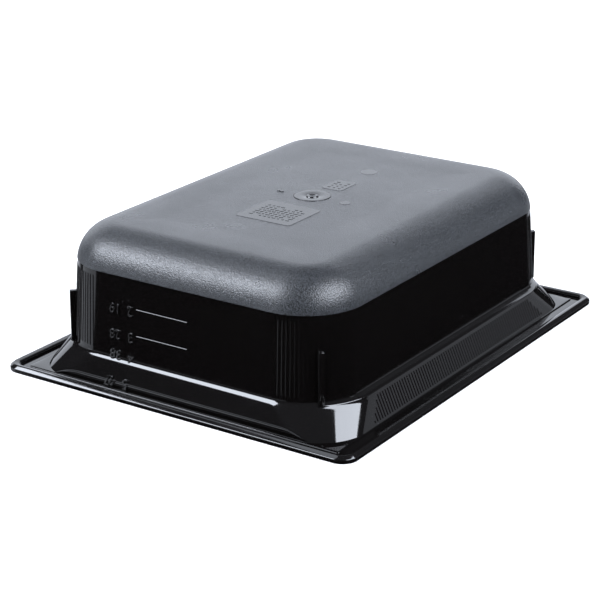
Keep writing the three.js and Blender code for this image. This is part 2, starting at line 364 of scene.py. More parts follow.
def ledge_row(by, z):
    """An outline on the ledge, which is a shelf on the long sides and a straight chamfer on
    the short ones."""
    share = (z - flare_top[3]) / (LEDGE_Z - flare_top[3])
    corner = FLARE_TOP_CORNER + (WALL_CORNER_LOW - FLARE_TOP_CORNER) * by / LEDGE_SIDE
    return outline(flare_top[0] - by, flare_top[1] - LEDGE_END * share, corner, z)


def outer_rows():
    """From the pocket of the gate, over the bottom and down the outside to the flange."""
    rounding = base_rounding(BASE_ROUND, 18, 1.0)
    flat = rounding[0]
    rows = [
        circle(0, FLOOR_Z - GATE_POCKET),
        circle(GATE_RADIUS + 0.25 * MM, FLOOR_Z - GATE_POCKET),
        circle(GATE_RADIUS + 0.25 * MM, FLOOR_Z - 0.1 * MM),
        circle(GATE_RADIUS + 0.45 * MM, FLOOR_Z, 1.0),
        circle(GATE_RADIUS + 0.6 * MM, FLOOR_Z, 1.0),
        shrink(flat, STAND_WIDTH + DISH_SLOPE + 1 * MM, FLOOR_Z, 1.0),
    ]
    for i in range(7):
        share = i / 6
        rise = DISH_DEPTH * (1 - math.cos(math.pi * share)) / 2
        by = STAND_WIDTH + DISH_SLOPE * (1 - share)
        rows.append(shrink(flat, by, FLOOR_Z + rise, 1.0))
    rows += rounding
    rows += [
        shrink(wall_top, -BASE_STEP * 0.75, BAND_Z - BASE_STEP_HEIGHT * 0.7, 1.0),
        shrink(wall_top, -BASE_STEP * 0.2, BAND_Z - BASE_STEP_HEIGHT),
        wall_top,
        *between(wall_top, wall_foot, 8),
        shrink(wall_foot, 0.05 * MM, LEDGE_Z + 1.0 * MM),
        shrink(wall_foot, -0.03 * MM, LEDGE_Z + 0.3 * MM),
        ledge_row(LEDGE_SIDE - 0.35 * MM, LEDGE_Z - 0.1 * MM),
    ]
    edge_z = LEDGE_Z - LEDGE_FALL
    rows.append(ledge_row(LEDGE_BREAK + 0.1 * MM, edge_z + 0.03 * MM))
    for i in range(5):
        turn = math.radians(15 + 62 * i / 4)
        rows.append(ledge_row(
            LEDGE_BREAK * (1 - math.sin(turn)),
            edge_z - LEDGE_EDGE * (1 - math.cos(turn)),
        ))
    rows += [*between(flare_top, flare_foot, 24), flare_foot]
    rows += [
        shrink(seat, 0.12 * MM, SEAT_TOP),
        shrink(seat, 0.03 * MM, SEAT_TOP - 0.04 * MM),
        shrink(seat, 0.0, SEAT_TOP - 0.14 * MM),
        shrink(seat, -0.02 * MM, FLANGE_TOP + 0.1 * MM),
        shrink(seat, -0.12 * MM, FLANGE_TOP),
    ]
    return rows


# the lip's outer side in millimetres: in from the outer edge, and down from the crown. It
# rounds over the crown, runs down a chamfer and rounds on to the upright outer face.
LIP_PROFILE = (
    (2.8, 0), (2.5, 0.04), (2.25, 0.15), (2.05, 0.3),
    (0.38, 1.66), (0.22, 1.82), (0.09, 2.02), (0.02, 2.25), (0, 2.6),
)


def rim_rows():
    """Over the lip and down to the edge that rests on the table."""
    inner = LIP_WIDTH - EDGE_BREAK
    rows = [
        rim(LIP_WIDTH + 0.25 * MM, FLANGE_TOP),
        rim(LIP_WIDTH, FLANGE_TOP + 0.25 * MM),
        rim(LIP_WIDTH - 0.1 * MM, LIP_SHOULDER - EDGE_BREAK),
    ]
    for i in range(1, 5):
        turn = math.radians(90 * i / 4)
        rows.append(rim(
            inner - EDGE_BREAK * math.sin(turn) + EDGE_BREAK - 0.1 * MM * (1 - i / 4),
            LIP_SHOULDER - EDGE_BREAK * math.cos(turn) * (1 if i < 4 else 0),
        ))
    rows += [rim(by * MM, LIP_HEIGHT - drop * MM) for by, drop in LIP_PROFILE]
    rows += [
        rim(0, EDGE_BREAK),
        rim(EDGE_BREAK * 0.3, EDGE_BREAK * 0.3),
        rim(EDGE_BREAK, 0),
    ]
    return rows


def inner_rows():
    """From the resting edge up the inside of the pan to the middle of its floor."""
    inner_foot = shrink(flare_foot, SHELL, EDGE_BREAK)
    inner_top = shrink(flare_top, SHELL, flare_top[3] - SHELL / 2)
    rows = [
        shrink(flare_foot, SHELL - EDGE_BREAK, 0),
        shrink(flare_foot, SHELL - EDGE_BREAK * 0.3, EDGE_BREAK * 0.3),
        inner_foot,
        *between(inner_foot, inner_top, 12),
        inner_top,
        shrink(flare_top, LEDGE_BREAK + SHELL, LEDGE_Z - LEDGE_FALL - SHELL),
        shrink(wall_foot, SHELL, LEDGE_Z - SHELL),
        shrink(wall_top, SHELL, BAND_Z - BASE_STEP_HEIGHT),
    ]
    rounding = base_rounding(BASE_ROUND - SHELL, 10, 0.0)
    rows += rounding[::-1]
    rows.append(shrink(rounding[0], STAND_WIDTH, HEIGHT - SHELL))
    rows.append(shrink(rounding[0], STAND_WIDTH + DISH_SLOPE, FLOOR_Z - SHELL))
    rows.append(circle(0, FLOOR_Z - SHELL))
    return rows


def outline_table(name, rows):
    """The outlines as a mesh with one point each: half sizes and height, then the rest."""
    table = mesh_object(name, [(row[0], row[1], row[3]) for row in rows])
    for label, column in (("corner", 2), ("grain", 4), ("reach", 5)):
        values = table.data.attributes.new(label, "FLOAT", "POINT")
        for i, row in enumerate(rows):
            values.data[i].value = row[column]
    return table


def loft_tree():
    """A skin through a table of rounded rectangles. Each corner takes one count of steps and
    each straight side another."""
    tree, given = node_tree("Loft through rounded rectangles", {
        "Outlines": "NodeSocketObject",
        "Corner steps": "NodeSocketInt",
        "Side steps": "NodeSocketInt",
        "Smooth finish": "NodeSocketMaterial",
        "Grained finish": "NodeSocketMaterial",
    })
    given = given.outputs
    table = node(tree, "GeometryNodeObjectInfo", {"Object": given["Outlines"]})
    rows = node(tree, "GeometryNodeAttributeDomainSize", {
        "Geometry": table.outputs["Geometry"]}, component="MESH").outputs["Point Count"]
    quarter_steps = node(tree, "ShaderNodeMath", {
        0: given["Corner steps"], 1: given["Side steps"]}).outputs[0]
    around = node(tree, "ShaderNodeMath", {0: quarter_steps, 1: 4.0}, operation="MULTIPLY")
    around = around.outputs[0]
    columns = node(tree, "ShaderNodeMath", {0: around, 1: 1.0}).outputs[0]
    grid = node(tree, "GeometryNodeMeshGrid", {"Vertices X": columns, "Vertices Y": rows})
    spot = node(tree, "ShaderNodeSeparateXYZ", {"Vector": grid.outputs["UV Map"]})

    # which step round the pan, and which outline, each point of the grid belongs to
    step = node(tree, "ShaderNodeMath", {0: spot.outputs["X"], 1: around}, operation="MULTIPLY")
    step = node(tree, "ShaderNodeMath", {0: step.outputs[0]}, operation="ROUND").outputs[0]
    last_row = node(tree, "ShaderNodeMath", {0: rows, 1: 1.0}, operation="SUBTRACT")
    row = node(tree, "ShaderNodeMath", {
        0: spot.outputs["Y"], 1: last_row.outputs[0]}, operation="MULTIPLY")
    row = node(tree, "ShaderNodeMath", {0: row.outputs[0]}, operation="ROUND").outputs[0]
    quarter = node(tree, "ShaderNodeMath", {0: step, 1: quarter_steps}, operation="DIVIDE")
    quarter = node(tree, "ShaderNodeMath", {0: quarter.outputs[0]}, operation="FLOOR").outputs[0]
    within = node(tree, "ShaderNodeMath", {
        0: quarter, 1: quarter_steps, 2: 0.0}, operation="MULTIPLY")
    within = node(tree, "ShaderNodeMath", {
        0: step, 1: within.outputs[0]}, operation="SUBTRACT").outputs[0]

    # the share of the corner's turn, and then of the straight side after it
    turned = node(tree, "ShaderNodeMath", {
        0: within, 1: given["Corner steps"]}, operation="MINIMUM")
    turned = node(tree, "ShaderNodeMath", {
        0: turned.outputs[0], 1: given["Corner steps"]}, operation="DIVIDE").outputs[0]
    passed = node(tree, "ShaderNodeMath", {
        0: within, 1: given["Corner steps"]}, operation="SUBTRACT")
    passed = node(tree, "ShaderNodeMath", {0: passed.outputs[0], 1: 0.0}, operation="MAXIMUM")
    passed = node(tree, "ShaderNodeMath", {
        0: passed.outputs[0], 1: given["Side steps"]}, operation="DIVIDE").outputs[0]

    # the direction from the corner's centre
    angle = node(tree, "ShaderNodeMath", {0: quarter, 1: turned})
    angle = node(tree, "ShaderNodeMath", {
        0: angle.outputs[0], 1: math.pi / 2}, operation="MULTIPLY").outputs[0]
    outward = node(tree, "ShaderNodeCombineXYZ", {
        "X": node(tree, "ShaderNodeMath", {0: angle}, operation="COSINE").outputs[0],
        "Y": node(tree, "ShaderNodeMath", {0: angle}, operation="SINE").outputs[0],
    })

    # the signs of this corner and of the next one
    signs = []
    for ahead in (0.5, 1.5):
        facing = node(tree, "ShaderNodeMath", {0: quarter, 1: ahead})
        facing = node(tree, "ShaderNodeMath", {
            0: facing.outputs[0], 1: math.pi / 2}, operation="MULTIPLY").outputs[0]
        across = node(tree, "ShaderNodeMath", {0: facing}, operation="COSINE")
        along = node(tree, "ShaderNodeMath", {0: facing}, operation="SINE")
        signs.append(node(tree, "ShaderNodeCombineXYZ", {
            "X": node(tree, "ShaderNodeMath", {0: across.outputs[0]}, operation="SIGN").outputs[0],
            "Y": node(tree, "ShaderNodeMath", {0: along.outputs[0]}, operation="SIGN").outputs[0],
            "Z": 1.0,
        }).outputs[0])
    sign = node(tree, "ShaderNodeMix", {
        "Factor": passed, 4: signs[0], 5: signs[1]}, data_type="VECTOR").outputs[1]

    # the outline's sizes, read from the table
    half = node(tree, "GeometryNodeSampleIndex", {
        "Geometry": table.outputs["Geometry"],
        "Value": node(tree, "GeometryNodeInputPosition").outputs[0],
        "Index": row}, data_type="FLOAT_VECTOR")
    half = half.outputs["Value"]
    columns_read = []
    for label in ("corner", "grain", "reach"):
        named = node(tree, "GeometryNodeInputNamedAttribute", {"Name": label})
        columns_read.append(node(tree, "GeometryNodeSampleIndex", {
            "Geometry": table.outputs["Geometry"],
            "Value": named.outputs["Attribute"],
            "Index": row}, data_type="FLOAT").outputs["Value"])
    corner, grain, reach = columns_read

    centre = node(tree, "ShaderNodeVectorMath", {
        0: half,
        1: node(tree, "ShaderNodeCombineXYZ", {"X": corner, "Y": corner}).outputs[0],
    }, operation="SUBTRACT")
    centre = node(tree, "ShaderNodeVectorMath", {
        0: centre.outputs[0], 1: sign}, operation="MULTIPLY")
    arm = node(tree, "ShaderNodeVectorMath", {
        0: outward.outputs[0], "Scale": corner}, operation="SCALE")
    place = node(tree, "ShaderNodeVectorMath", {
        0: centre.outputs[0], 1: arm.outputs[0]}, operation="ADD").outputs[0]

    # the end faces cut off what would reach past them
    spot = node(tree, "ShaderNodeSeparateXYZ", {"Vector": place})
    back = node(tree, "ShaderNodeMath", {0: reach, 1: -1.0}, operation="MULTIPLY").outputs[0]
    cut = node(tree, "ShaderNodeMath", {0: spot.outputs["Y"], 1: reach}, operation="MINIMUM")
    cut = node(tree, "ShaderNodeMath", {0: cut.outputs[0], 1: back}, operation="MAXIMUM")
    place = node(tree, "ShaderNodeCombineXYZ", {
        "X": spot.outputs["X"], "Y": cut.outputs[0], "Z": spot.outputs["Z"]}).outputs[0]

    marked = node(tree, "GeometryNodeStoreNamedAttribute", {
        "Geometry": grid.outputs["Mesh"], "Name": "grain", "Value": grain},
        data_type="FLOAT", domain="POINT")
    skin = node(tree, "GeometryNodeSetPosition", {
        "Geometry": marked.outputs[0], "Position": place})
    closed = node(tree, "GeometryNodeMergeByDistance", {
        "Geometry": skin.outputs[0], "Distance": 0.002 * MM})
    facing = node(tree, "GeometryNodeFlipFaces", {"Mesh": closed.outputs[0]})
    smooth = node(tree, "GeometryNodeSetShadeSmooth", {"Geometry": facing.outputs[0]})
    finished = node(tree, "GeometryNodeSetMaterial", {
        "Geometry": smooth.outputs[0], "Material": given["Smooth finish"]})
    rough = node(tree, "ShaderNodeMath", {
        0: node(tree, "GeometryNodeInputNamedAttribute", {"Name": "grain"}).outputs["Attribute"],
        1: 0.75}, operation="GREATER_THAN")
    finished = node(tree, "GeometryNodeSetMaterial", {
        "Geometry": finished.outputs[0],
        "Selection": rough.outputs[0],
        "Material": given["Grained finish"]})
    whole = node(tree, "GeometryNodeRealizeInstances", {"Geometry": finished.outputs[0]})
    node(tree, "NodeGroupOutput", {"Geometry": whole.outputs[0]})
    return tree


table = outline_table("outlines", outer_rows() + rim_rows() + inner_rows())
shell = grow("pan_shell", loft_tree(), {
    "Outlines": table,
    "Corner steps": 28,
    "Side steps": 6,
    "Smooth finish": polished,
    "Grained finish": grained,
})
discard(table)
part_of_pan(shell)


# ---------------------------------------------------------------- fine ribs

def rib_tree():
    """Fine round ribs laid on the shell. A row of guide lines stands just off the surface;
    each is drawn in to the nearest point of the shell and becomes a half-sunk rod."""
    tree, given = node_tree("Ribs laid on the shell", {
        "Shell": "NodeSocketObject",
        "Places": "NodeSocketObject",
        "Count": "NodeSocketInt",
        "Pitch": "NodeSocketFloat",
        "Turn": "NodeSocketFloat",
        "Foot": "NodeSocketVector",
        "Head": "NodeSocketVector",
        "Rod radius": "NodeSocketFloat",
        "Sink": "NodeSocketFloat",
        "Field half length": "NodeSocketFloat",
        "Field lean": "NodeSocketFloat",
        "Finish": "NodeSocketMaterial",
    })
    given = given.outputs
    guide = node(tree, "GeometryNodeMeshLine", {
        "Count": 12, "Start Location": given["Foot"], "Offset": given["Head"]},
        mode="END_POINTS")
    middle = node(tree, "ShaderNodeMath", {0: given["Count"], 1: 1.0}, operation="SUBTRACT")
    middle = node(tree, "ShaderNodeMath", {
        0: middle.outputs[0], 1: 0.5}, operation="MULTIPLY").outputs[0]
    place = node(tree, "ShaderNodeMath", {
        0: node(tree, "GeometryNodeInputIndex").outputs[0], 1: middle},
        operation="SUBTRACT").outputs[0]
    row = node(tree, "GeometryNodePoints", {
        "Count": given["Count"],
        "Position": node(tree, "ShaderNodeCombineXYZ", {
            "Y": node(tree, "ShaderNodeMath", {
                0: place, 1: given["Pitch"]}, operation="MULTIPLY").outputs[0]}).outputs[0]})
    guides = node(tree, "GeometryNodeInstanceOnPoints", {
        "Points": row.outputs[0],
        "Instance": guide.outputs["Mesh"],
        "Rotation": node(tree, "ShaderNodeCombineXYZ", {
            "Z": node(tree, "ShaderNodeMath", {
                0: place, 1: given["Turn"]}, operation="MULTIPLY").outputs[0]}).outputs[0]})
    row_lines = node(tree, "GeometryNodeRealizeInstances", {"Geometry": guides.outputs[0]})

    # the ribs at the two ends of a field are cut along its slanted edge
    spot = node(tree, "ShaderNodeSeparateXYZ", {
        "Vector": node(tree, "GeometryNodeInputPosition").outputs[0]})
    reach = node(tree, "ShaderNodeMath", {0: spot.outputs["Y"]}, operation="ABSOLUTE")
    slant = node(tree, "ShaderNodeMath", {
        0: spot.outputs["Z"], 1: given["Field lean"], 2: reach.outputs[0]},
        operation="MULTIPLY_ADD")
    outside = node(tree, "ShaderNodeMath", {
        0: slant.outputs[0], 1: given["Field half length"]}, operation="GREATER_THAN")
    kept = node(tree, "GeometryNodeDeleteGeometry", {
        "Geometry": row_lines.outputs[0], "Selection": outside.outputs[0]}, domain="POINT")

    places = node(tree, "GeometryNodeObjectInfo", {"Object": given["Places"]})
    turn = node(tree, "GeometryNodeInputNamedAttribute", {"Name": "turn"})
    copies = node(tree, "GeometryNodeInstanceOnPoints", {
        "Points": places.outputs["Geometry"],
        "Instance": kept.outputs[0],
        "Rotation": node(tree, "ShaderNodeCombineXYZ", {
            "Z": turn.outputs["Attribute"]}).outputs[0]})
    lines = node(tree, "GeometryNodeRealizeInstances", {"Geometry": copies.outputs[0]})

    target = node(tree, "GeometryNodeObjectInfo", {"Object": given["Shell"]})
    nearest = node(tree, "GeometryNodeProximity", {
        0: target.outputs["Geometry"]}, target_element="FACES")
    inward = node(tree, "ShaderNodeVectorMath", {
        0: nearest.outputs["Position"],
        1: node(tree, "GeometryNodeInputPosition").outputs[0]}, operation="SUBTRACT")
    inward = node(tree, "ShaderNodeVectorMath", {0: inward.outputs[0]}, operation="NORMALIZE")
    sunk = node(tree, "ShaderNodeVectorMath", {
        0: inward.outputs[0], "Scale": given["Sink"]}, operation="SCALE")
    landed = node(tree, "ShaderNodeVectorMath", {
        0: nearest.outputs["Position"], 1: sunk.outputs[0]}, operation="ADD")
    laid = node(tree, "GeometryNodeSetPosition", {
        "Geometry": lines.outputs[0], "Position": landed.outputs[0]})
    spine = node(tree, "GeometryNodeMeshToCurve", {"Mesh": laid.outputs[0]})
    section = node(tree, "GeometryNodeCurvePrimitiveCircle", {
        "Resolution": 12, "Radius": given["Rod radius"]})
    rods = node(tree, "GeometryNodeCurveToMesh", {
        "Curve": spine.outputs[0],
        "Profile Curve": section.outputs["Curve"],
        "Fill Caps": True})
    smooth = node(tree, "GeometryNodeSetShadeSmooth", {"Geometry": rods.outputs[0]})
    whole = node(tree, "GeometryNodeRealizeInstances", {"Geometry": smooth.outputs[0]})
    finished = node(tree, "GeometryNodeSetMaterial", {
        "Geometry": whole.outputs[0], "Material": given["Finish"]})
    node(tree, "NodeGroupOutput", {"Geometry": finished.outputs[0]})
    return tree


def places(name, spots):
    """Points to repeat a part at: (x, y, turn about Z in degrees)."""
    made = mesh_object(name, [(x, y, 0) for x, y, _ in spots])
    turns = made.data.attributes.new("turn", "FLOAT", "POINT")
    for i, spot in enumerate(spots):
        turns.data[i].value = math.radians(spot[2])
    return made


CORNER_RIBS = 20  # on each upright corner
RIB_PITCH = 2.8 * MM
RIB_FOOT = LEDGE_Z + 3.2 * MM
RIB_HEAD = BAND_Z - 3.7 * MM
RIB_RADIUS = 0.75 * MM
RIB_SINK = 0.42 * MM

corner_x = wall_foot[0] - WALL_CORNER_LOW
corner_y = wall_foot[1] - WALL_CORNER_LOW
corners = places("corners", [
    (corner_x, corner_y, 45),
    (-corner_x, corner_y, 135),
    (-corner_x, -corner_y, 225),
    (corner_x, -corner_y, 315),
])
sides = places("sides", [(0, 0, 0), (0, 0, 180)])

ribs = rib_tree()
corner_ribs = grow("corner_ribs", ribs, {
    "Shell": shell,
    "Places": corners,
    "Count": CORNER_RIBS,
    "Pitch": 0.0,
    "Turn": RIB_PITCH / WALL_CORNER_LOW,
    "Foot": (WALL_CORNER_LOW + 1.5 * MM, 0, RIB_FOOT),
    "Head": (WALL_CORNER_LOW + 0.2 * MM, 0, RIB_HEAD),
    "Rod radius": RIB_RADIUS,
    "Sink": RIB_SINK,
    "Field half length": 1.0,  # a metre, so that no rib is cut
    "Field lean": 0.0,
    "Finish": polished,
})
part_of_pan(corner_ribs)

FLARE_RIBS = 79  # on each long side
FLARE_RIB_PITCH = 2.85 * MM
FLARE_RIB_FOOT = 5.2 * MM
FLARE_RIB_HEAD = 18.0 * MM
FLARE_RIB_RADIUS = 0.6 * MM
FLARE_RIB_SINK = 0.18 * MM
FIELD_HALF_LENGTH = 114.7 * MM
FIELD_LEAN = 0.92  # how fast the ends of the field run in as it rises
flare_ribs = grow("flare_ribs", ribs, {
    "Shell": shell,
    "Places": sides,
    "Count": FLARE_RIBS,
    "Pitch": FLARE_RIB_PITCH,
    "Turn": 0.0,
    "Foot": (flare_foot[0] + 1.5 * MM, 0, FLARE_RIB_FOOT),
    "Head": (flare_top[0] + 1.8 * MM, 0, FLARE_RIB_HEAD),
    "Rod radius": FLARE_RIB_RADIUS,
    "Sink": FLARE_RIB_SINK,
    "Field half length": FIELD_HALF_LENGTH,
    "Field lean": FIELD_LEAN,
    "Finish": polished,
})
part_of_pan(flare_ribs)


# ---------------------------------------------------------------- stacking fins

FIN_THICKNESS = 3.6 * MM
FIN_FOOT = LEDGE_Z - 2.0 * MM
FIN_HEAD = 53.8 * MM
FIN_FOOT_OUT = 40.4 * MM  # from the centre of the corner to the fin's edge
FIN_HEAD_OUT = 40.1 * MM
FIN_ROOT = WALL_CORNER_LOW - SHELL / 2  # the fin's inner edge, inside the wall
FIN_ROOT_LEAN = 1.5 * MM  # that edge leans in with the wall
FIN_BREAK = 0.55 * MM


def fin_blank():
    """One upright fin, as it stands on a corner that faces +X, with its edges broken."""
    bm = bmesh.new()
    profile = [
        (FIN_ROOT, FIN_FOOT), (FIN_FOOT_OUT, FIN_FOOT),
        (FIN_HEAD_OUT, FIN_HEAD), (FIN_ROOT - FIN_ROOT_LEAN, FIN_HEAD),
    ]
    ends = [
        [bm.verts.new((x, side * FIN_THICKNESS / 2, z)) for x, z in profile]
        for side in (-1, 1)
    ]
    bm.faces.new(ends[0])
    bm.faces.new(ends[1][::-1])
    for i in range(4):
        j = (i + 1) % 4
        bm.faces.new((ends[0][i], ends[1][i], ends[1][j], ends[0][j]))
    bmesh.ops.bevel(
        bm, geom=bm.edges[:], offset=FIN_BREAK, segments=3, profile=0.5, affect="EDGES")
    return keep_bmesh("fin_blank", bm, polished)


def repeat_tree():
    """Copies of one part at a set of places, each turned about Z."""
    tree, given = node_tree("Part repeated at places", {
        "Part": "NodeSocketObject",
        "Places": "NodeSocketObject",
        "Finish": "NodeSocketMaterial",
    })
    given = given.outputs
    part = node(tree, "GeometryNodeObjectInfo", {"Object": given["Part"]})
    spots = node(tree, "GeometryNodeObjectInfo", {"Object": given["Places"]})
    turn = node(tree, "GeometryNodeInputNamedAttribute", {"Name": "turn"})
    copies = node(tree, "GeometryNodeInstanceOnPoints", {
        "Points": spots.outputs["Geometry"],
        "Instance": part.outputs["Geometry"],
        "Rotation": node(tree, "ShaderNodeCombineXYZ", {
            "Z": turn.outputs["Attribute"]}).outputs[0]})
    whole = node(tree, "GeometryNodeRealizeInstances", {"Geometry": copies.outputs[0]})
    finished = node(tree, "GeometryNodeSetMaterial", {
        "Geometry": whole.outputs[0], "Material": given["Finish"]})
    node(tree, "NodeGroupOutput", {"Geometry": finished.outputs[0]})
    return tree


blank = fin_blank()
fins = grow("stacking_fins", repeat_tree(), {
    "Part": blank, "Places": corners, "Finish": polished})
discard(blank, corners, sides)
part_of_pan(fins)


# ---------------------------------------------------------------- graduations

# in millimetres: the height of a row, and its figure on each of the two scales
FIGURE_ROWS = ((53.5, "2", "19"), (36.4, "3", "28"), (23.2, "4", "38"), (7.6, "5", "47"))
# in millimetres: where each scale stands along X, and the size of its figures
FIGURE_COLUMNS = ((-40.0, 9.6), (-52.0, 9.0))
FIGURE_SINK = 0.05 * MM
FIGURE_RISE = 0.32 * MM
FIGURE_BEVEL = 0.22 * MM
LINE_HEIGHTS = (37.8, 55.2)  # in millimetres
LINE_MIDDLE = -16 * MM
LINE_LENGTH = 39 * MM
LINE_RADIUS = 0.75 * MM
LINE_SINK = 0.3 * MM


def numeral(text, size, place):
    """Raised figures as a mesh, on the plane that the matrix gives."""
    curve = bpy.data.curves.new(text, "FONT")
    curve.body = text
    curve.size = size
    curve.align_x = "CENTER"
    curve.align_y = "CENTER"
    curve.extrude = FIGURE_RISE
    curve.bevel_depth = FIGURE_BEVEL
    curve.bevel_resolution = 1
    curve.resolution_u = 4
    holder = bpy.data.objects.new(text, curve)
    bpy.context.scene.collection.objects.link(holder)
    depsgraph = bpy.context.evaluated_depsgraph_get()
    mesh = bpy.data.meshes.new_from_object(holder.evaluated_get(depsgraph), depsgraph=depsgraph)
    mesh.transform(place)
    discard(holder)
    return mesh


def end_wall_y(z):
    """How far out the end wall, or the flare below it, stands at a height."""
    if z > LEDGE_Z:
        share = (z - LEDGE_Z) / (wall_top[3] - LEDGE_Z)
        return -(wall_foot[1] + (wall_top[1] - wall_foot[1]) * share)
    share = (z - flare_foot[3]) / (flare_top[3] - flare_foot[3])
    return -min(END_FACE, flare_foot[1] + (flare_top[1] - flare_foot[1]) * share)


def graduations():
    """Two scales of raised figures and two level lines. The pan is upside down, so the
    figures are too."""
    bm = bmesh.new()
    reach = 3 * MM  # the slope of the wall is taken this far above and below a row
    axes = Matrix(((-1, 0, 0, 0), (0, 0, -1, 0), (0, -1, 0, 0), (0, 0, 0, 1)))
    for height, *figures in FIGURE_ROWS:
        z = height * MM
        y = end_wall_y(z)
        tilt = math.atan2(end_wall_y(z + reach) - end_wall_y(z - reach), 2 * reach)
        stand = Matrix.Translation((0, y - FIGURE_SINK, z)) @ Matrix.Rotation(-tilt, 4, "X")
        for text, (along, size) in zip(figures, FIGURE_COLUMNS):
            spot = Matrix.Translation((along * MM, 0, 0)) @ stand @ axes
            mesh = numeral(text, size * MM, spot)
            bm.from_mesh(mesh)
            bpy.data.meshes.remove(mesh)
    for height in LINE_HEIGHTS:
        z = height * MM
        y = end_wall_y(z) + LINE_SINK
        line = bmesh.ops.create_cone(
            bm, cap_ends=True, segments=16, radius1=LINE_RADIUS, radius2=LINE_RADIUS,
            depth=LINE_LENGTH)
        turn = Matrix.Translation((LINE_MIDDLE, y, z)) @ Matrix.Rotation(math.pi / 2, 4, "Y")
        bmesh.ops.transform(bm, matrix=turn, verts=line["verts"])
    return keep_bmesh("graduations", bm, polished)


part_of_pan(graduations(), crease=50)


# ---------------------------------------------------------------- marks on the bottom

def turned(name, profile, steps, material):
    """A solid of revolution about Z from (radius, height) pairs, first and last on the axis."""
    bm = bmesh.new()
    rings = []
    for radius, z in profile:
        if radius == 0:
            rings.append([bm.verts.new((0, 0, z))] * steps)
        else:
            rings.append([
                bm.verts.new((
                    radius * math.cos(2 * math.pi * k / steps),
                    radius * math.sin(2 * math.pi * k / steps),
                    z,
                ))
                for k in range(steps)
            ])
    for low, high in zip(rings, rings[1:]):
        for k in range(steps):
            j = (k + 1) % steps
            quad = [low[k], low[j], high[j], high[k]]
            bm.faces.new(list(dict.fromkeys(quad)))
    return keep_bmesh(name, bm, material)


GATE_TOP = FLOOR_Z + 0.25 * MM
# radius and height above the top in millimetres: the disc with its rounded edge, the shallow
# dish, the ring in the dish, and the sprue in the ring
GATE_PROFILE = (
    (0, -1.4), (12.2, -1.4), (12.2, -0.25), (12.12, -0.1), (11.95, -0.02), (11.7, 0),
    (9.0, -0.02), (7.2, -0.12), (5.6, -0.34), (4.6, -0.55), (4.25, -0.66), (4.1, -0.7),
    (4.0, -0.6), (3.9, -0.1), (3.75, 0.06), (3.5, 0.1), (2.6, 0.1), (2.2, 0.02),
    (1.9, -0.25), (1.3, -0.3), (1.0, -0.1), (0.6, 0.02), (0, 0.04),
)


def gate():
    """The injection gate: a polished disc with a shallow dish and the trimmed sprue in it."""
    profile = [(radius * MM, GATE_TOP + height * MM) for radius, height in GATE_PROFILE]
    return turned("gate_disc", profile, 64, inset)


part_of_pan(gate(), crease=40)


